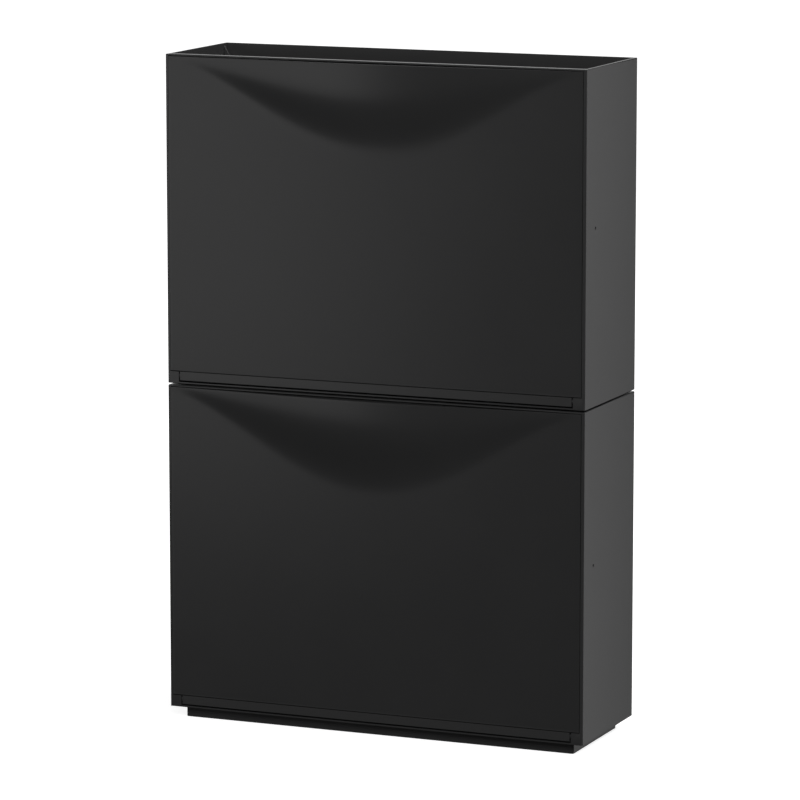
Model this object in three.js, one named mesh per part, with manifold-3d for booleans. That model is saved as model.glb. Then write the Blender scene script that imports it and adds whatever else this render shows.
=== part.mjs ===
// Two-unit stacking shoe cabinet with tip-out bins, in millimetres, +Z up.
// The origin is under the middle of the whole cabinet, on the floor. The doors face -Y.
import * as THREE from "three";
import { mergeVertices } from "three/addons/utils/BufferGeometryUtils.js";
import Module from "manifold-3d";

const wasm = await Module();
wasm.setup();

// ---------------------------------------------------------------- driving dimensions

// shell of one unit
const unitWidth = 520;
const shellDepth = 166;
const shellHeight = 385;
const wall = 3.5; // side and back panels
const cornerRadius = 2; // upright outer edges
const rimRadius = 1.5; // top outer edges
const sillRadius = 0.4; // bottom outer edges
const seam = 0.1; // gap between pieces that are fixed to each other
const weld = 0.2; // how far two shapes of one piece run into each other

// foot that nests in the open top of the unit below
const footHeight = 13.5;
const footInsetSide = 15.3;
const footInsetFront = 11.6;
const footInsetBack = 13;
const footCornerRadius = 3;
const basePlate = 1.8;
const panWall = 2.4;
const stackGap = 2; // open joint between the two shells

// front corner blocks, which hold the pivots
const blockWidth = 14.3;
const blockHeight = 14;
const blockBackWall = 2.6; // behind the pivot bore

// top front rail
const railPlate = 1.8;
const railDepth = 9;
const railWeb = 2.5;
const railWebHeight = 12;
const railWebGap = 0.8; // from the back of the closed door to the web

// door
const doorThickness = 3;
const doorProud = 1.2; // how far the closed door stands in front of the shell
const doorSideGap = 0.5;
const doorTopGap = 0.5;
const doorBottomGap = 0.8;
const lipReach = 13; // how far the pull lip flares forward at its middle
const scoopWidth = 530;
const scoopHeight = 114;
const scoopColumns = 28;
const scoopRows = 12;

// pivot tongue along the bottom of the door
const tongueBackWall = 1.85; // behind the pivot bore
const tongueBottomGap = 1.5;
const tongueSideGap = 1.5;
const tongueTopRise = 3; // how far the tongue runs up behind the door
const tongueChamfer = 0.8;
const shadowGrooveDepth = 3; // the gap under the door skin runs on into the tongue
const pinRadius = 2.5;
const pivotFrontWall = 1.2; // block in front of the pivot bore
const pivotTopWall = 2.2; // block above the pivot bore
const pinInTongue = 12;
const pinInBlock = 9.8;
const pinEndGap = 0.4;
const pressGap = 0.05;
const runningGap = 0.1;
const swingGap = 0.5; // room between the turning door and the corner blocks

// bin behind the door
const cheekThickness = 3;
const cheekSideGap = 2;
const cheekBelowTop = 85;
const cheekBackRise = 36; // above the open end of the slot
const cheekSwell = 20; // how far the top edge's curve is drawn up at its middle
const cheekFrontLedge = 22;
const binBackGap = 7; // from the bin to the back panel
const binFloorGap = 0.8; // above the tongue
const binFloorThickness = 2.5;
const binBackHeight = 42;
const binBackThickness = 2.5;
const floorRibHeight = 1.5;
const floorRibWidth = 2;
const floorRibCount = 6;
const floorRibFrontGap = 8;
const floorRibBackGap = 4;

// stop pegs in the side panels, which run in arc slots in the cheeks
const pegLean = 8.1; // degrees back from upright, from the pivot to the peg
const pegStudRadius = 1.8;
const pegStudRecess = 1.2;
const pegShoulderRadius = 4.5;
const pegShoulderGap = 0.5; // from the shoulder to the cheek
const pegShankRadius = 3;
const pegReach = 1.5; // how far the shank passes the cheek
const slotGap = 0.5;
const slotEndWall = 6.5; // cheek behind the open end of the slot
const openAngle = 38; // degrees

// pieces that carry and guide the foot of a unit stacked on top
const guideThickness = 3;
const guideGap = 0.6; // to the back of the foot
const guideReach = 9;
const guideDrop = 3; // top of the guide rib below the rim
const guideRamp = 16; // height of its sloping top
const guideHeight = 34;
const guidePlate = 2;
const ledgeWidth = 18;
const ledgePlate = 2.5;
const ledgeFlange = 2;
const ledgeHeight = 20;
const ledgeFront = 22;
const ledgeLength = 90;
const ledgeGussets = 3;
const seatGap = 0.3;

// fixing holes in the back panel
const wallHoleRadius = 2.6;
const wallHoleSpacing = 360;
const wallHoleBelowTop = 38;

// ---------------------------------------------------------------- worked-out places in one unit
// A unit's own frame has X across, Y = 0 at the front of the shell and Z = 0 at the shell's bottom.

const halfWidth = unitWidth / 2;
const innerHalf = halfWidth - wall;
const backInner = shellDepth - wall;
const unitPitch = shellHeight + stackGap;
const doorHalf = innerHalf - doorSideGap;
const doorFront = -doorProud;
const doorBack = doorFront + doorThickness;
const doorBottom = blockHeight + doorBottomGap;
const doorTop = shellHeight - railPlate - doorTopGap;
const blockInner = halfWidth - blockWidth;
const pivotSetBack = pivotFrontWall + runningGap + pinRadius;
const pivotHeight = blockHeight - pivotTopWall - runningGap - pinRadius;
const blockDepth = pivotSetBack + pinRadius + runningGap + blockBackWall;
const tongueDepth = pivotSetBack + pinRadius + pressGap + tongueBackWall;
const tongueHalf = blockInner - tongueSideGap;
const tongueBottom = basePlate + tongueBottomGap;
const cheekOuter = innerHalf - cheekSideGap;
const cheekInner = cheekOuter - cheekThickness;
const binFront = doorBack + seam;
const binBack = backInner - binBackGap;
const binFloorHeight = doorBottom + tongueTopRise + binFloorGap;
const cheekTop = shellHeight - cheekBelowTop;
const footHalf = halfWidth - footInsetSide;
const footFront = footInsetFront;
const footBack = shellDepth - footInsetBack;
const seatHeight = shellHeight + stackGap - footHeight - seatGap;

// The slot is an arc about the pivot. Its open end has to fit in the cheek, which sets its radius.
const halfSlot = pegShankRadius + slotGap;
const pegAngle = THREE.MathUtils.degToRad(pegLean);
const slotEndAngle = THREE.MathUtils.degToRad(pegLean + openAngle);
const slotRadius = (binBack - slotEndWall - halfSlot - pivotSetBack) / Math.sin(slotEndAngle);
const pegSetBack = pivotSetBack + slotRadius * Math.sin(pegAngle);
const pegHeight = pivotHeight + slotRadius * Math.cos(pegAngle);
const cheekBackTop = pivotHeight + slotRadius * Math.cos(slotEndAngle) + cheekBackRise;

// ---------------------------------------------------------------- shaping helpers

function toSolid(geometry) {
  const bare = geometry.clone();
  bare.deleteAttribute("normal");
  bare.deleteAttribute("uv");
  const merged = mergeVertices(bare, 1e-4);
  return new wasm.Manifold(
    new wasm.Mesh({
      numProp: 3,
      vertProperties: new Float32Array(merged.attributes.position.array),
      triVerts: new Uint32Array(merged.index.array),
    }),
  );
}

function toGeometry(solid) {
  const mesh = solid.getMesh();
  const geometry = new THREE.BufferGeometry();
  geometry.setAttribute("position", new THREE.BufferAttribute(mesh.vertProperties, 3));
  geometry.setIndex(new THREE.BufferAttribute(mesh.triVerts, 1));
  geometry.computeVertexNormals();
  return geometry;
}

// a box between two limits on each axis
function block([x0, x1], [y0, y1], [z0, z1]) {
  const box = new THREE.BoxGeometry(x1 - x0, y1 - y0, z1 - z0);
  return toSolid(box.translate((x0 + x1) / 2, (y0 + y1) / 2, (z0 + z1) / 2));
}

// a rectangle with round corners, as a flat outline
function roundedOutline([u0, u1], [v0, v1], radius, lowRadius = radius) {
  const quarter = Math.PI / 2;
  const outline = new THREE.Shape();
  outline.absarc(u1 - lowRadius, v0 + lowRadius, lowRadius, -quarter, 0);
  outline.absarc(u1 - radius, v1 - radius, radius, 0, quarter);
  outline.absarc(u0 + radius, v1 - radius, radius, quarter, 2 * quarter);
  outline.absarc(u0 + lowRadius, v0 + lowRadius, lowRadius, 2 * quarter, 3 * quarter);
  outline.closePath();
  return outline;
}

// an outline drawn in Y and Z, swept along X
function sweepX(outline, [x0, x1], curveSegments = 4) {
  const geometry = new THREE.ExtrudeGeometry(outline, { depth: x1 - x0, bevelEnabled: false, curveSegments });
  const turn = new THREE.Matrix4().makeBasis(
    new THREE.Vector3(0, 1, 0),
    new THREE.Vector3(0, 0, 1),
    new THREE.Vector3(1, 0, 0),
  );
  return toSolid(geometry.applyMatrix4(turn).translate(x0, 0, 0));
}

// an outline drawn in X and Z, swept along Y
function sweepY(outline, [y0, y1], curveSegments = 4) {
  const geometry = new THREE.ExtrudeGeometry(outline, { depth: y1 - y0, bevelEnabled: false, curveSegments });
  return toSolid(geometry.rotateX(Math.PI / 2).translate(0, y1, 0));
}

// an outline drawn in X and Y, swept along Z
function sweepZ(outline, [z0, z1], curveSegments = 4) {
  const geometry = new THREE.ExtrudeGeometry(outline, { depth: z1 - z0, bevelEnabled: false, curveSegments });
  return toSolid(geometry.translate(0, 0, z0));
}

// a round bar along X
function barX(radius, [x0, x1], y, z, sides = 24) {
  const bar = new THREE.CylinderGeometry(radius, radius, x1 - x0, sides).rotateZ(Math.PI / 2);
  return toSolid(bar.translate((x0 + x1) / 2, y, z));
}

// limits on one side of the cabinet: hand is -1 for left and 1 for right
function across(hand, inner, outer) {
  return hand > 0 ? [inner, outer] : [-outer, -inner];
}

// the rounded outer form that every shell piece is trimmed to
const acrossShell = [-halfWidth, halfWidth];
const throughShell = [0, shellDepth];
const upShell = [0, shellHeight];
const shellForm = sweepZ(roundedOutline(acrossShell, throughShell, cornerRadius), upShell)
  .intersect(sweepY(roundedOutline(acrossShell, upShell, rimRadius, sillRadius), throughShell))
  .intersect(sweepX(roundedOutline(throughShell, upShell, rimRadius, sillRadius), acrossShell));

// ---------------------------------------------------------------- shell

// side wall with the corner block at its lower front, bored for the pivot pin and the stop peg
function sidePanel(hand) {
  const plate = block(across(hand, innerHalf, halfWidth), [0, shellDepth], [0, shellHeight]);
  const cornerBlock = block(across(hand, blockInner, halfWidth), [0, blockDepth], [0, blockHeight]);
  const pivotBore = barX(
    pinRadius + runningGap,
    across(hand, blockInner - 1, blockInner + pinInBlock + pinEndGap),
    pivotSetBack,
    pivotHeight,
  );
  const pegBore = barX(
    pegStudRadius + pressGap,
    across(hand, innerHalf - 1, halfWidth + 1),
    pegSetBack,
    pegHeight,
  );
  return plate.add(cornerBlock).intersect(shellForm).subtract(pivotBore).subtract(pegBore);
}

// back wall between the side walls, with two holes for fixing the unit to a wall
function backPanel() {
  const half = innerHalf - seam;
  let panel = block([-half, half], [backInner, shellDepth], [0, shellHeight]).intersect(shellForm);
  for (const hand of [-1, 1]) {
    const hole = new THREE.CylinderGeometry(wallHoleRadius, wallHoleRadius, wall * 3, 16);
    hole.translate(hand * wallHoleSpacing / 2, shellDepth - wall / 2, shellHeight - wallHoleBelowTop);
    panel = panel.subtract(toSolid(hole));
  }
  return panel;
}

// bottom plate with the sunken pan that makes the foot
function baseTray() {
  const plate = block([-innerHalf + seam, innerHalf - seam], [0, backInner - seam], [0, basePlate]);
  const panHalf = footHalf - panWall;
  const pan = sweepZ(
    roundedOutline([-footHalf, footHalf], [footFront, footBack], footCornerRadius),
    [-footHeight, basePlate],
  );
  const panThrough = [footFront + panWall, footBack - panWall];
  const hollow = sweepZ(
    roundedOutline([-panHalf, panHalf], panThrough, footCornerRadius - panWall / 2),
    [panWall - footHeight, basePlate + 1],
  );
  let tray = plate.intersect(shellForm).add(pan).subtract(hollow);
  for (const hand of [-1, 1]) {
    const sides = across(hand, blockInner - seam, halfWidth);
    tray = tray.subtract(block(sides, [-1, blockDepth + seam], [-1, blockHeight]));
  }
  return tray;
}

// thin bar that closes the rim above the door, with a web that the door's top leans on
function frontRail() {
  const half = innerHalf - seam;
  const webFront = doorBack + railWebGap;
  const underside = shellHeight - railPlate;
  const plate = block([-half, half], [0, railDepth], [underside, shellHeight]);
  const webUpright = [underside - railWebHeight, underside + weld];
  const web = block([-half, half], [webFront, webFront + railWeb], webUpright);
  return plate.add(web).intersect(shellForm);
}

// ---------------------------------------------------------------- door and bin

// a bell curve across the door, 1 at the middle and 0 at the ends of its width
function bell(x, width, power) {
  return Math.abs(x) < width / 2 ? Math.cos((Math.PI * x) / width) ** power : 0;
}

// an S curve from 0 to 1 that is level at both ends and steepest a little below its middle
function sCurve(t) {
  return t ** 3 * (20 - 45 * t + 36 * t ** 2 - 10 * t ** 3);
}

// how far the door's skin stands forward at a place on it: a shallow scoop that rises
// along the S curve to the pull lip and dies out towards both ends
function scoop(x, z) {
  const height = scoopHeight * bell(x, scoopWidth, 1.5);
  const rise = THREE.MathUtils.clamp((z - doorTop + height) / Math.max(height, 1), 0, 1);
  return lipReach * bell(x, scoopWidth, 2) * sCurve(rise);
}

// door skin with its scoop, and the pivot tongue along its foot
function doorPanel() {
  const height = doorTop - doorBottom;
  const skin = new THREE.BoxGeometry(2 * doorHalf, doorThickness, height, scoopColumns, 1, scoopRows + 1);
  skin.translate(0, (doorFront + doorBack) / 2, (doorTop + doorBottom) / 2);
  const place = skin.attributes.position;
  const flatTop = doorTop - scoopHeight;
  for (let i = 0; i < place.count; i += 1) {
    const row = Math.round(((place.getZ(i) - doorBottom) / height) * (scoopRows + 1));
    const z = row === 0 ? doorBottom : flatTop + ((row - 1) / scoopRows) * scoopHeight;
    place.setZ(i, z);
    place.setY(i, place.getY(i) - scoop(place.getX(i), z));
  }
  const section = new THREE.Shape();
  section.moveTo(0, tongueBottom + tongueChamfer);
  section.lineTo(tongueChamfer, tongueBottom);
  section.lineTo(tongueDepth - tongueChamfer, tongueBottom);
  section.lineTo(tongueDepth, tongueBottom + tongueChamfer);
  section.lineTo(tongueDepth, doorBottom + tongueTopRise - tongueChamfer);
  section.lineTo(tongueDepth - tongueChamfer, doorBottom + tongueTopRise);
  section.lineTo(0, doorBottom + tongueTopRise);
  section.closePath();
  let panel = toSolid(skin);
  const cornerReach = Math.hypot(pivotSetBack, blockHeight - pivotHeight);
  for (const hand of [-1, 1]) {
    const relief = barX(
      cornerReach + swingGap,
      across(hand, tongueHalf, halfWidth),
      pivotSetBack,
      pivotHeight,
      48,
    );
    panel = panel.subtract(relief);
  }
  panel = panel.add(sweepX(section, [-tongueHalf, tongueHalf]));
  for (const hand of [-1, 1]) {
    const bore = barX(
      pinRadius + pressGap,
      across(hand, tongueHalf - pinInTongue - pinEndGap, tongueHalf + 1),
      pivotSetBack,
      pivotHeight,
    );
    panel = panel.subtract(bore);
  }
  const groove = block(
    [-tongueHalf - 1, tongueHalf + 1],
    [doorFront - 1, shadowGrooveDepth],
    [blockHeight, doorBottom],
  );
  return panel.subtract(groove);
}

// side of the bin, with the arc slot that the stop peg runs in
function cheek(hand) {
  const outline = new THREE.Shape();
  outline.moveTo(binFront, binFloorHeight);
  outline.lineTo(binBack, binFloorHeight);
  outline.lineTo(binBack, cheekBackTop);
  outline.quadraticCurveTo(
    (binFront + binBack) / 2,
    cheekBackTop + cheekSwell,
    binFront + cheekFrontLedge,
    cheekTop,
  );
  outline.lineTo(binFront, cheekTop);
  outline.closePath();

  const shut = Math.PI / 2 - pegAngle;
  const open = Math.PI / 2 - slotEndAngle;
  const endPlace = (angle) => [
    pivotSetBack + slotRadius * Math.cos(angle),
    pivotHeight + slotRadius * Math.sin(angle),
  ];
  const slot = new THREE.Path();
  slot.absarc(pivotSetBack, pivotHeight, slotRadius + halfSlot, open, shut);
  slot.absarc(...endPlace(shut), halfSlot, shut, shut + Math.PI);
  slot.absarc(pivotSetBack, pivotHeight, slotRadius - halfSlot, shut, open, true);
  slot.absarc(...endPlace(open), halfSlot, open + Math.PI, open + 2 * Math.PI);
  slot.closePath();
  outline.holes.push(slot);
  return sweepX(outline, across(hand, cheekInner, cheekOuter), 16);
}

// ribbed floor that the shoes stand on
function binFloor() {
  const half = cheekInner - seam;
  const top = binFloorHeight + binFloorThickness;
  let floor = block([-half, half], [binFront, binBack], [binFloorHeight, top]);
  const ribFront = binFront + floorRibFrontGap;
  const ribBack = binBack - binBackThickness - floorRibBackGap;
  for (let i = 0; i < floorRibCount; i += 1) {
    const x = -half + ((i + 0.5) * 2 * half) / floorRibCount;
    const ribSides = [x - floorRibWidth / 2, x + floorRibWidth / 2];
    floor = floor.add(block(ribSides, [ribFront, ribBack], [top - weld, top + floorRibHeight]));
  }
  return floor;
}

// low wall across the back of the bin
function binBackRail() {
  const half = cheekInner - seam;
  const bottom = binFloorHeight + binFloorThickness + seam;
  return block([-half, half], [binBack - binBackThickness, binBack], [bottom, bottom + binBackHeight]);
}

// pin that joins the tongue to the corner block
function pivotPin(hand) {
  const ends = across(hand, tongueHalf - pinInTongue, blockInner + pinInBlock);
  return barX(pinRadius, ends, pivotSetBack, pivotHeight);
}

// stepped peg pressed into the side wall
function stopPeg(hand) {
  const wallFace = innerHalf - seam;
  const shoulder = cheekOuter + pegShoulderGap;
  const steps = [
    [pegShankRadius, cheekInner - pegReach, shoulder + weld],
    [pegShoulderRadius, shoulder, wallFace],
    [pegStudRadius, wallFace - weld, halfWidth - pegStudRecess],
  ];
  return steps
    .map(([radius, inner, outer]) => barX(radius, across(hand, inner, outer), pegSetBack, pegHeight))
    .reduce((peg, step) => peg.add(step));
}

// ---------------------------------------------------------------- stacking pieces

// rib on the side wall behind the foot of the unit above, with a sloping top and its own fixing plate
function cornerGuide(hand) {
  const top = shellHeight - guideDrop;
  const bottom = top - guideHeight;
  const face = innerHalf - seam;
  const front = footBack + guideGap;
  const outline = new THREE.Shape();
  outline.moveTo(hand * face, top);
  outline.lineTo(hand * (face - guideReach), top - guideRamp);
  outline.lineTo(hand * (face - guideReach), bottom);
  outline.lineTo(hand * face, bottom);
  outline.closePath();
  const rib = sweepY(outline, [front, front + guideThickness]);
  const plate = block(
    across(hand, face - guidePlate, face),
    [front, backInner - seam],
    [bottom, top - guideRamp / 2],
  );
  return rib.add(plate);
}

// bracket on the side wall that carries the foot of the unit above
function stackLedge(hand) {
  const face = innerHalf - seam;
  const front = ledgeFront;
  const back = ledgeFront + ledgeLength;
  const bottom = seatHeight - ledgeHeight;
  const shelf = block(across(hand, face - ledgeWidth, face), [front, back], [seatHeight - ledgePlate, seatHeight]);
  const flange = block(across(hand, face - ledgeFlange, face), [front, back], [bottom, seatHeight]);
  let ledge = shelf.add(flange);
  const gusset = new THREE.Shape();
  gusset.moveTo(hand * (face - ledgeFlange / 2), bottom);
  gusset.lineTo(hand * (face - ledgeFlange / 2), seatHeight - ledgePlate / 2);
  gusset.lineTo(hand * (face - ledgeWidth), seatHeight - ledgePlate / 2);
  gusset.closePath();
  for (let i = 0; i < ledgeGussets; i += 1) {
    const y = front + (i * (ledgeLength - ledgeFlange)) / (ledgeGussets - 1);
    ledge = ledge.add(sweepY(gusset, [y, y + ledgeFlange]));
  }
  return ledge;
}

// ---------------------------------------------------------------- materials

function plastic(colour, roughness) {
  return new THREE.MeshStandardMaterial({ color: colour, roughness, metalness: 0 });
}

const shellPlastic = plastic(0x262627, 0.42);
const doorPlastic = plastic(0x1f1f20, 0.38);
const innerPlastic = plastic(0x2b2b2c, 0.55);
const pinPlastic = plastic(0x3a3a3b, 0.35);

// ---------------------------------------------------------------- assembly

const hands = { left: -1, right: 1 };

function unit(name) {
  const group = new THREE.Group();
  const place = (piece, solid, material) => {
    const mesh = new THREE.Mesh(toGeometry(solid), material);
    mesh.name = `${name}_${piece}`;
    group.add(mesh);
  };
  place("back_panel", backPanel(), shellPlastic);
  place("base_tray", baseTray(), shellPlastic);
  place("front_rail", frontRail(), shellPlastic);
  place("door", doorPanel(), doorPlastic);
  place("bin_floor", binFloor(), innerPlastic);
  place("bin_back_rail", binBackRail(), innerPlastic);
  for (const [side, hand] of Object.entries(hands)) {
    place(`${side}_side_panel`, sidePanel(hand), shellPlastic);
    place(`${side}_cheek`, cheek(hand), innerPlastic);
    place(`${side}_pivot_pin`, pivotPin(hand), pinPlastic);
    place(`${side}_stop_peg`, stopPeg(hand), pinPlastic);
    place(`${side}_corner_guide`, cornerGuide(hand), innerPlastic);
    place(`${side}_stack_ledge`, stackLedge(hand), innerPlastic);
  }
  return group;
}

const cabinet = new THREE.Group();
const units = ["lower", "upper"];
units.forEach((name, level) => {
  const stacked = unit(name);
  stacked.position.z = footHeight + level * unitPitch;
  cabinet.add(stacked);
});
cabinet.position.y = (doorProud + lipReach - shellDepth) / 2;

export default cabinet;
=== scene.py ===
"""Two stacked shoe cabinets with tip-out doors, in black moulded plastic. All sizes are in metres."""

import math

import bmesh
import bpy
from mathutils import Matrix, Vector


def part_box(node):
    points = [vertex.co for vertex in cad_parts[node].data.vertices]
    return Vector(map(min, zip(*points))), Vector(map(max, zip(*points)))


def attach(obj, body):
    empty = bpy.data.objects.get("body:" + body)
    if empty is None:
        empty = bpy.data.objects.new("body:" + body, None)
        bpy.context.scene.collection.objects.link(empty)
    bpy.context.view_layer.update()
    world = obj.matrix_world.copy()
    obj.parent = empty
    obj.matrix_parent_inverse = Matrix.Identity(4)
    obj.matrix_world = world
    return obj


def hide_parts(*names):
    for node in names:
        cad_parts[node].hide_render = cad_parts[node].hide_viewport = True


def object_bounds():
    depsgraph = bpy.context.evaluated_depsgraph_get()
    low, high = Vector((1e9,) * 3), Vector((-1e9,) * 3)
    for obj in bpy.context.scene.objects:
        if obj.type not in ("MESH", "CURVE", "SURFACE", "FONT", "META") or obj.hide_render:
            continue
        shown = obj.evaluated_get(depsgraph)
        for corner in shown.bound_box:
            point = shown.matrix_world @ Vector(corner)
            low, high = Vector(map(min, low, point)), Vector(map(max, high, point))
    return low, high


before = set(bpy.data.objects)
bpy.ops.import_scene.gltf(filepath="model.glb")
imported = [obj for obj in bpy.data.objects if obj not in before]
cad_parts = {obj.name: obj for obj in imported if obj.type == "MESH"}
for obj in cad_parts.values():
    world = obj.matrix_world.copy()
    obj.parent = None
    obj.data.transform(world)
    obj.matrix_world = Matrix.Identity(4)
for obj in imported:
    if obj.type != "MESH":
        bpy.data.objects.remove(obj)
cad_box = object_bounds()
units = ("lower", "upper")
hands = {"left": -1, "right": 1}

# ---------------------------------------------------------------- camera
# A long lens from the front and the right, a little above the cabinet's middle,
# so that the uprights stay nearly parallel.

cabinet_middle = (cad_box[0] + cad_box[1]) / 2
camera_azimuth = math.radians(22.84)
camera_elevation = math.radians(9.36)
camera_distance = 5.385
camera_aim = cabinet_middle + Vector((0.0025, 0, -0.0076))

camera_back = Vector(
    (
        math.sin(camera_azimuth) * math.cos(camera_elevation),
        -math.cos(camera_azimuth) * math.cos(camera_elevation),
        math.sin(camera_elevation),
    )
)
camera_data = bpy.data.cameras.new("camera")
camera_data.sensor_width = 36
camera_data.lens = 208.4
camera = bpy.data.objects.new("camera", camera_data)
camera.location = camera_aim + camera_back * camera_distance
camera.rotation_mode = "QUATERNION"
camera.rotation_quaternion = (-camera_back).to_track_quat("-Z", "Y")
bpy.context.scene.collection.objects.link(camera)
bpy.context.scene.camera = camera

# ---------------------------------------------------------------- studio
# A pale floor that fades into a white surround, and soft panels of light at the front left,
# behind the cabinet on both sides, above its right side and high in front.

bpy.context.scene.view_settings.view_transform = "Standard"


def surround():
    world = bpy.data.worlds.new("surround")
    world.use_nodes = True
    nodes = world.node_tree.nodes
    links = world.node_tree.links
    dim = nodes["Background"]
    dim.inputs["Color"].default_value = (0.05, 0.05, 0.05, 1)
    white = nodes.new("ShaderNodeBackground")
    white.inputs["Color"].default_value = (1, 1, 1, 1)
    white.inputs["Strength"].default_value = 1.3
    path = nodes.new("ShaderNodeLightPath")
    mix = nodes.new("ShaderNodeMixShader")
    links.new(path.outputs["Is Camera Ray"], mix.inputs["Fac"])
    links.new(dim.outputs["Background"], mix.inputs[1])
    links.new(white.outputs["Background"], mix.inputs[2])
    links.new(mix.outputs["Shader"], nodes["World Output"].inputs["Surface"])
    bpy.context.scene.world = world


def light_panel(name, centre, width, height, radiance, aim):
    data = bpy.data.lights.new(name, "AREA")
    data.shape = "RECTANGLE"
    data.size = width
    data.size_y = height
    data.energy = radiance * math.pi * width * height
    panel = bpy.data.objects.new(name, data)
    panel.location = centre
    panel.rotation_mode = "QUATERNION"
    panel.rotation_quaternion = (Vector(aim) - Vector(centre)).to_track_quat("-Z", "Y")
    panel.visible_camera = False
    bpy.context.scene.collection.objects.link(panel)


def pale_floor():
    bm = bmesh.new()
    bmesh.ops.create_grid(bm, x_segments=1, y_segments=1, size=30)
    mesh = bpy.data.meshes.new("floor")
    bm.to_mesh(mesh)
    bm.free()
    floor = bpy.data.objects.new("floor", mesh)
    bpy.context.scene.collection.objects.link(floor)
    floor.location = (0, 0, cad_box[0].z - 0.0005)
    paint = bpy.data.materials.new("floor_paint")
    paint.use_nodes = True
    shader = paint.node_tree.nodes["Principled BSDF"]
    shader.inputs["Base Color"].default_value = (0.85, 0.85, 0.85, 1)
    shader.inputs["Roughness"].default_value = 0.9
    shader.inputs["Specular IOR Level"].default_value = 0
    shader.inputs["Emission Color"].default_value = (1, 1, 1, 1)
    nodes = paint.node_tree.nodes
    links = paint.node_tree.links
    place = nodes.new("ShaderNodeTexCoord")
    distance = nodes.new("ShaderNodeVectorMath")
    distance.operation = "LENGTH"
    links.new(place.outputs["Object"], distance.inputs[0])
    fade_out = nodes.new("ShaderNodeMapRange")
    fade_out.inputs["From Min"].default_value = 0.3
    fade_out.inputs["From Max"].default_value = 1.4
    fade_out.inputs["To Min"].default_value = 0.86
    fade_out.inputs["To Max"].default_value = 1.1
    links.new(distance.outputs["Value"], fade_out.inputs["Value"])
    links.new(fade_out.outputs["Result"], shader.inputs["Emission Strength"])
    mesh.materials.append(paint)
    floor.visible_glossy = False
    floor.visible_diffuse = False


surround()
pale_floor()
light_panel("front_left_panel", (-1.94, -3, 0.79), 1.41, 2.22, 0.82, (-1.94, 0, 0.79))
light_panel("right_rear_panel", (1.7, 1.3, 0.5), 2, 2.4, 0.53, (1.7, 0, 0.5))
light_panel("left_rear_panel", (-2.6, 4.5, 2.25), 4.5, 4, 0.55, (-2.6, 0, 2.25))
light_panel("overhead_panel", (1.7, 0.5, 2.6), 2.6, 2, 2.6, (0, 0, 0.6))
light_panel("front_high_panel", (2.2, -4.6, 3.4), 4, 2.5, 4.1, (0, 0, 0.4))

# ---------------------------------------------------------------- shells
# Each unit is an open box of injection-moulded polypropylene, 3.5 mm thick, with a fine matt grain.
# Its walls meet without a visible joint, and the arrises that a hand can reach are softly rounded.

grain_size = 0.0007
grain_depth = 0.000012
edge_rounding = 0.00035
sharp_edge = math.radians(35)


def grained_plastic(name, colour, roughness, edge_highlight_colour):
    """Moulded plastic with a fine grain, faint flow marks in tone and gloss, and a painted highlight that
    makes convex edges paler.
    """
    material = bpy.data.materials.new(name)
    material.use_nodes = True
    nodes = material.node_tree.nodes
    links = material.node_tree.links
    shader = nodes["Principled BSDF"]
    shader.inputs["IOR"].default_value = 1.5
    place = nodes.new("ShaderNodeTexCoord")

    grain = nodes.new("ShaderNodeTexNoise")
    grain.inputs["Scale"].default_value = 1 / grain_size
    grain.inputs["Detail"].default_value = 2
    links.new(place.outputs["Object"], grain.inputs["Vector"])
    bump = nodes.new("ShaderNodeBump")
    bump.inputs["Distance"].default_value = grain_depth
    bump.inputs["Strength"].default_value = 0.6
    links.new(grain.outputs["Fac"], bump.inputs["Height"])
    links.new(bump.outputs["Normal"], shader.inputs["Normal"])

    flow = nodes.new("ShaderNodeTexNoise")
    flow.inputs["Scale"].default_value = 9
    flow.inputs["Detail"].default_value = 4
    links.new(place.outputs["Object"], flow.inputs["Vector"])
    tone = nodes.new("ShaderNodeMix")
    tone.data_type = "RGBA"
    tone.inputs["A"].default_value = (*[0.92 * c for c in colour], 1)
    tone.inputs["B"].default_value = (*[1.08 * c for c in colour], 1)
    links.new(flow.outputs["Fac"], tone.inputs["Factor"])

    # Painted highlight: convex edges, found by pointiness, are mixed towards a paler colour.
    shape = nodes.new("ShaderNodeNewGeometry")
    edge_highlight_mask = nodes.new("ShaderNodeMapRange")
    edge_highlight_mask.inputs["From Min"].default_value = 0.54
    edge_highlight_mask.inputs["From Max"].default_value = 0.66
    edge_highlight_mask.inputs["To Max"].default_value = 0.5
    links.new(shape.outputs["Pointiness"], edge_highlight_mask.inputs["Value"])
    edge_highlight_mix = nodes.new("ShaderNodeMix")
    edge_highlight_mix.data_type = "RGBA"
    edge_highlight_mix.inputs["B"].default_value = (*edge_highlight_colour, 1)
    links.new(edge_highlight_mask.outputs["Result"], edge_highlight_mix.inputs["Factor"])
    links.new(tone.outputs["Result"], edge_highlight_mix.inputs["A"])
    links.new(edge_highlight_mix.outputs["Result"], shader.inputs["Base Color"])

    gloss = nodes.new("ShaderNodeMapRange")
    gloss.inputs["To Min"].default_value = roughness - 0.02
    gloss.inputs["To Max"].default_value = roughness + 0.02
    links.new(flow.outputs["Fac"], gloss.inputs["Value"])
    links.new(gloss.outputs["Result"], shader.inputs["Roughness"])
    return material


def make_piece(name, bm, material, slot, body, *replaced):
    """Puts a finished bmesh into the scene as a piece that rides on a body and stands for CAD nodes."""
    mesh = bpy.data.meshes.new(name)
    bm.to_mesh(mesh)
    bm.free()
    mesh.shade_smooth()
    mesh.set_sharp_from_angle(angle=sharp_edge)
    mesh.materials.append(material)
    piece = bpy.data.objects.new(name, mesh)
    bpy.context.scene.collection.objects.link(piece)
    even = piece.modifiers.new("even_shading", "WEIGHTED_NORMAL")
    even.weight = 100
    even.keep_sharp = True
    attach(piece, body)
    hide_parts(*replaced)


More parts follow.
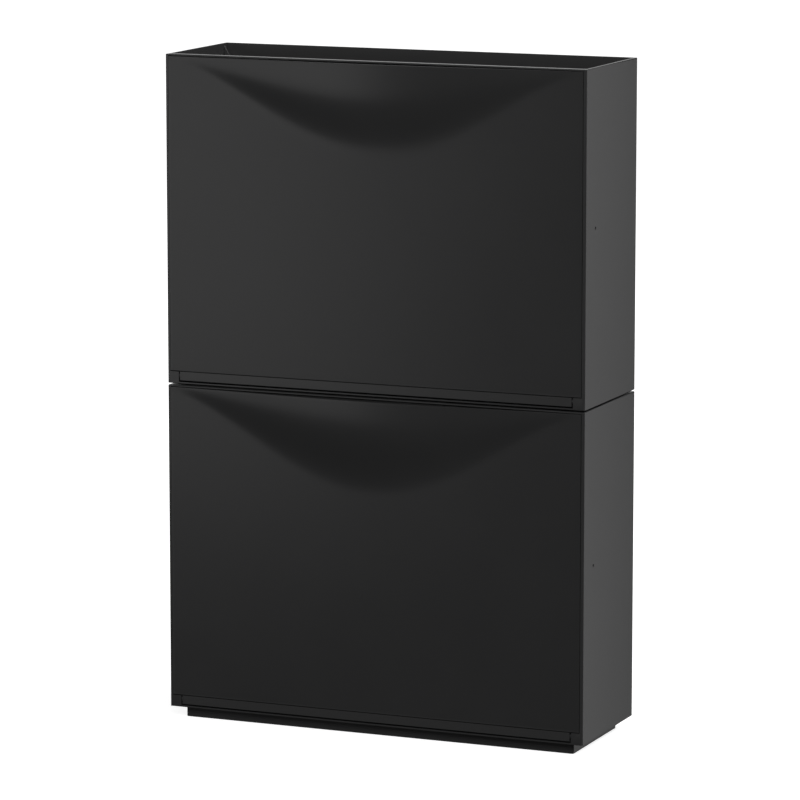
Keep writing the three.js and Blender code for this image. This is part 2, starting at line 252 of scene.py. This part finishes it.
def softened_copy(node, rounding, is_seam=lambda edge: False):
    """A merged copy of a CAD node with its sharp edges rounded, apart from those at a closed seam."""
    bm = bmesh.new()
    bm.from_mesh(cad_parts[node].data)
    bmesh.ops.remove_doubles(bm, verts=bm.verts, dist=1e-6)
    bmesh.ops.dissolve_limit(bm, angle_limit=math.radians(0.5), verts=bm.verts, edges=bm.edges)
    folded = [e for e in bm.edges if len(e.link_faces) == 2 and e.calc_face_angle() > sharp_edge]
    sharp = [e for e in folded if not is_seam(e)]
    bmesh.ops.bevel(
        bm,
        geom=sharp,
        offset=rounding,
        offset_type="OFFSET",
        affect="EDGES",
        segments=2,
        profile=0.5,
        material=-1,
        clamp_overlap=True,
    )
    return bm


shell_plastic = grained_plastic("shell_plastic", (0.04, 0.04, 0.0405), 0.24, (0.075, 0.075, 0.075))

for unit in units:
    rail_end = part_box(f"{unit}_front_rail")[1].x

    def at_side_wall(edge):
        return all(abs(abs(v.co.x) - rail_end) < 0.0002 for v in edge.verts)

    for side in hands:
        node = f"{unit}_{side}_side_panel"
        copy = softened_copy(node, edge_rounding)
        make_piece(f"{node}_shell", copy, shell_plastic, "shell", "root", node)
    for part in ("back_panel", "front_rail", "base_tray"):
        node = f"{unit}_{part}"
        copy = softened_copy(node, edge_rounding, at_side_wall)
        make_piece(f"{node}_shell", copy, shell_plastic, "shell", "root", node)

# ---------------------------------------------------------------- doors
# One moulding each: a 3 mm skin that stands just proud of the shell, flared forward at the top
# into a pull lip, and a pivot tongue along its foot that turns between the corner blocks.

skin_thickness = 0.003
skin_proud = 0.0012
block_height = 0.014
skin_foot = 0.0148  # bottom of the skin above the shell's
groove_depth = 0.003  # the gap under the skin runs on into the tongue
cell = 0.004
lip_reach = 0.013
scoop_width = 0.53
scoop_height = 0.114
lip_rounding = 0.0006
tongue_side_gap = 0.0015
tongue_behind_pin = 0.0019
tongue_rise = 0.003
tongue_chamfer = 0.0008
press_gap = 0.00005
pin_bore_depth = 0.0124
swing_gap = 0.0005
past = 0.001  # how far a cutting shape runs past the face that it cuts


def bell(x, width, power):
    return math.cos(math.pi * x / width) ** power if abs(x) < width / 2 else 0


def s_curve(t):
    return t**3 * (20 - 45 * t + 36 * t**2 - 10 * t**3)


def scoop(x, below_top):
    """How far the skin stands forward: an S curve, steepest below its middle, that dies out to both ends."""
    height = scoop_height * bell(x, scoop_width, 1.5)
    rise = min(max((height - below_top) / max(height, 0.001), 0), 1)
    return lip_reach * bell(x, scoop_width, 2) * s_curve(rise)


def door_skin(low, high, front):
    bm = bmesh.new()
    width = high.x - low.x
    height = high.z - low.z
    place = Matrix.Translation((0, front, (low.z + high.z) / 2))
    upright = Matrix.Rotation(math.radians(90), 4, "X")
    bmesh.ops.create_grid(
        bm,
        x_segments=round(width / cell),
        y_segments=round(height / cell),
        size=0.5,
        matrix=place @ Matrix.Diagonal((width, 1, height, 1)) @ upright,
    )
    for vert in bm.verts:
        vert.co.y -= scoop(vert.co.x, high.z - vert.co.z)
    back = bmesh.ops.extrude_face_region(bm, geom=bm.faces[:])["geom"]
    back_verts = [g for g in back if isinstance(g, bmesh.types.BMVert)]
    bmesh.ops.translate(bm, verts=back_verts, vec=(0, skin_thickness, 0))
    bmesh.ops.recalc_face_normals(bm, faces=bm.faces)
    rim = [e for e in bm.edges if e.calc_face_angle() > math.radians(60)]
    bmesh.ops.bevel(
        bm,
        geom=rim,
        offset=lip_rounding,
        offset_type="OFFSET",
        affect="EDGES",
        segments=3,
        profile=0.5,
        material=-1,
        clamp_overlap=True,
    )
    return bm


def bar_along_x(bm, radius, x0, x1, y, z):
    bmesh.ops.create_cone(
        bm,
        cap_ends=True,
        segments=48,
        radius1=radius,
        radius2=radius,
        depth=abs(x1 - x0),
        matrix=Matrix.Translation(((x0 + x1) / 2, y, z)) @ Matrix.Rotation(math.radians(90), 4, "Y"),
    )


def box_between(low, high):
    bm = bmesh.new()
    middle = Matrix.Translation((low + high) / 2)
    extent = Matrix.Diagonal((*(high - low), 1))
    bmesh.ops.create_cube(bm, size=1, matrix=middle @ extent)
    return bm


def combined(bm, other, operation):
    """The union or difference of two closed bmeshes."""
    objects = []
    for source in (bm, other):
        mesh = bpy.data.meshes.new("raw")
        source.to_mesh(mesh)
        source.free()
        raw = bpy.data.objects.new("raw", mesh)
        bpy.context.scene.collection.objects.link(raw)
        objects.append(raw)
    cut = objects[0].modifiers.new("cut", "BOOLEAN")
    cut.object = objects[1]
    cut.operation = operation
    cut.solver = "EXACT"
    depsgraph = bpy.context.evaluated_depsgraph_get()
    result = bmesh.new()
    result.from_object(objects[0], depsgraph)
    for raw in objects:
        bpy.data.meshes.remove(raw.data)
    return result


door_plastic = grained_plastic("door_plastic", (0.039, 0.039, 0.0395), 0.25, (0.07, 0.07, 0.07))

for unit in units:
    shell_low, shell_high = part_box(f"{unit}_left_side_panel")
    door_low, door_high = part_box(f"{unit}_door")
    pin_low, pin_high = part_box(f"{unit}_right_pivot_pin")
    pivot_y = (pin_low.y + pin_high.y) / 2
    pivot_z = (pin_low.z + pin_high.z) / 2
    pin_radius = (pin_high.z - pin_low.z) / 2
    foot = shell_low.z + skin_foot
    skin_front = shell_low.y - skin_proud
    skin = door_skin(Vector((door_low.x, 0, foot)), Vector((door_high.x, 0, door_high.z)), skin_front)

    tongue_half = -shell_high.x - tongue_side_gap
    tongue_back = pivot_y + pin_radius + tongue_behind_pin
    tongue = box_between(
        Vector((-tongue_half, shell_low.y, door_low.z)),
        Vector((tongue_half, tongue_back, foot + tongue_rise)),
    )
    long_edges = [e for e in tongue.edges if abs(e.verts[0].co.x - e.verts[1].co.x) > tongue_half]
    bmesh.ops.bevel(
        tongue,
        geom=long_edges,
        offset=tongue_chamfer,
        offset_type="OFFSET",
        affect="EDGES",
        segments=3,
        profile=0.5,
        material=-1,
        clamp_overlap=True,
    )

    bores = bmesh.new()
    corner_reach = math.hypot(pivot_y - shell_low.y, shell_low.z + block_height - pivot_z)
    for hand in hands.values():
        ends = (hand * tongue_half, hand * (door_high.x + past))
        bar_along_x(bores, corner_reach + swing_gap, *ends, pivot_y, pivot_z)
    relieved = combined(skin, bores, "DIFFERENCE")
    whole = combined(relieved, tongue, "UNION")
    pin_bores = bmesh.new()
    for hand in hands.values():
        ends = (hand * (tongue_half - pin_bore_depth), hand * (tongue_half + past))
        bar_along_x(pin_bores, pin_radius + press_gap, *ends, pivot_y, pivot_z)
    bored = combined(whole, pin_bores, "DIFFERENCE")
    groove = box_between(
        Vector((-tongue_half - past, skin_front - past, shell_low.z + block_height)),
        Vector((tongue_half + past, shell_low.y + groove_depth, foot)),
    )
    door = combined(bored, groove, "DIFFERENCE")
    make_piece(f"{unit}_door_moulding", door, door_plastic, "door_skin", f"{unit}_bin", f"{unit}_door")

# ---------------------------------------------------------------- bins
# Behind each door hangs a bin of the same plastic in a duller finish: a ribbed floor,
# a low back wall, and two cheeks with the arc slots that limit how far it tips.

inner_rounding = 0.0003
bin_plastic = grained_plastic("bin_plastic", (0.036, 0.036, 0.0365), 0.4, (0.05, 0.05, 0.05))

for unit in units:
    for part in ("bin_floor", "bin_back_rail", "left_cheek", "right_cheek"):
        node = f"{unit}_{part}"
        copy = softened_copy(node, inner_rounding)
        make_piece(f"{node}_moulding", copy, bin_plastic, "bin_inner", f"{unit}_bin", node)

# ---------------------------------------------------------------- pivot pins and stop pegs
# Turned acetal pins that the doors swing on, and stepped pegs pressed into the side walls
# from inside, whose shanks run in the cheeks' slots.

pin_chamfer = 0.0004
shank_radius = 0.003
stud_radius = 0.0018
shoulder_thickness = 0.0014


def turned_pin(outline, centre_y, centre_z):
    """A solid turned about X from an outline of (x, radius) points that starts and ends on the axis."""
    bm = bmesh.new()
    verts = [bm.verts.new((x, centre_y, centre_z + radius)) for x, radius in outline]
    edges = [bm.edges.new(pair) for pair in zip(verts, verts[1:])]
    bmesh.ops.spin(
        bm,
        geom=verts + edges,
        cent=(0, centre_y, centre_z),
        axis=(1, 0, 0),
        angle=2 * math.pi,
        steps=40,
        use_merge=True,
    )
    bmesh.ops.remove_doubles(bm, verts=bm.verts, dist=1e-7)
    bmesh.ops.recalc_face_normals(bm, faces=bm.faces)
    return bm


pin_plastic = grained_plastic("pin_plastic", (0.04, 0.04, 0.041), 0.3, (0.06, 0.06, 0.06))

for unit in units:
    for side, hand in hands.items():
        node = f"{unit}_{side}_pivot_pin"
        low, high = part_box(node)
        radius = (high.z - low.z) / 2
        outline = [
            (low.x, 0),
            (low.x, radius - pin_chamfer),
            (low.x + pin_chamfer, radius),
            (high.x - pin_chamfer, radius),
            (high.x, radius - pin_chamfer),
            (high.x, 0),
        ]
        pin = turned_pin(outline, (low.y + high.y) / 2, (low.z + high.z) / 2)
        make_piece(f"{node}_turned", pin, pin_plastic, "pin", f"{unit}_bin", node)

        node = f"{unit}_{side}_stop_peg"
        low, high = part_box(node)
        shoulder_radius = (high.z - low.z) / 2
        inner, outer = (low.x, high.x) if hand > 0 else (high.x, low.x)
        wall_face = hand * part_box(f"{unit}_back_panel")[1].x
        shoulder = wall_face - hand * shoulder_thickness
        outline = [
            (inner, 0),
            (inner, shank_radius - pin_chamfer),
            (inner + hand * pin_chamfer, shank_radius),
            (shoulder, shank_radius),
            (shoulder, shoulder_radius - pin_chamfer),
            (shoulder + hand * pin_chamfer, shoulder_radius),
            (wall_face, shoulder_radius),
            (wall_face, stud_radius),
            (outer - hand * pin_chamfer, stud_radius),
            (outer, stud_radius - pin_chamfer),
            (outer, 0),
        ]
        peg = turned_pin(outline, (low.y + high.y) / 2, (low.z + high.z) / 2)
        make_piece(f"{node}_turned", peg, pin_plastic, "pin", "root", node)

# ---------------------------------------------------------------- stacking guides and ledges
# Ribs in the back corners that stop the foot of the unit above from sliding back, and gusseted
# brackets on the side walls that carry it. Both are welded to the shell.

inner_plastic = grained_plastic("inner_plastic", (0.045, 0.045, 0.0455), 0.5, (0.05, 0.05, 0.05))

for unit in units:
    for side in hands:
        for part in ("corner_guide", "stack_ledge"):
            node = f"{unit}_{side}_{part}"
            copy = softened_copy(node, inner_rounding)
            make_piece(f"{node}_moulding", copy, inner_plastic, "shell_inner", "root", node)
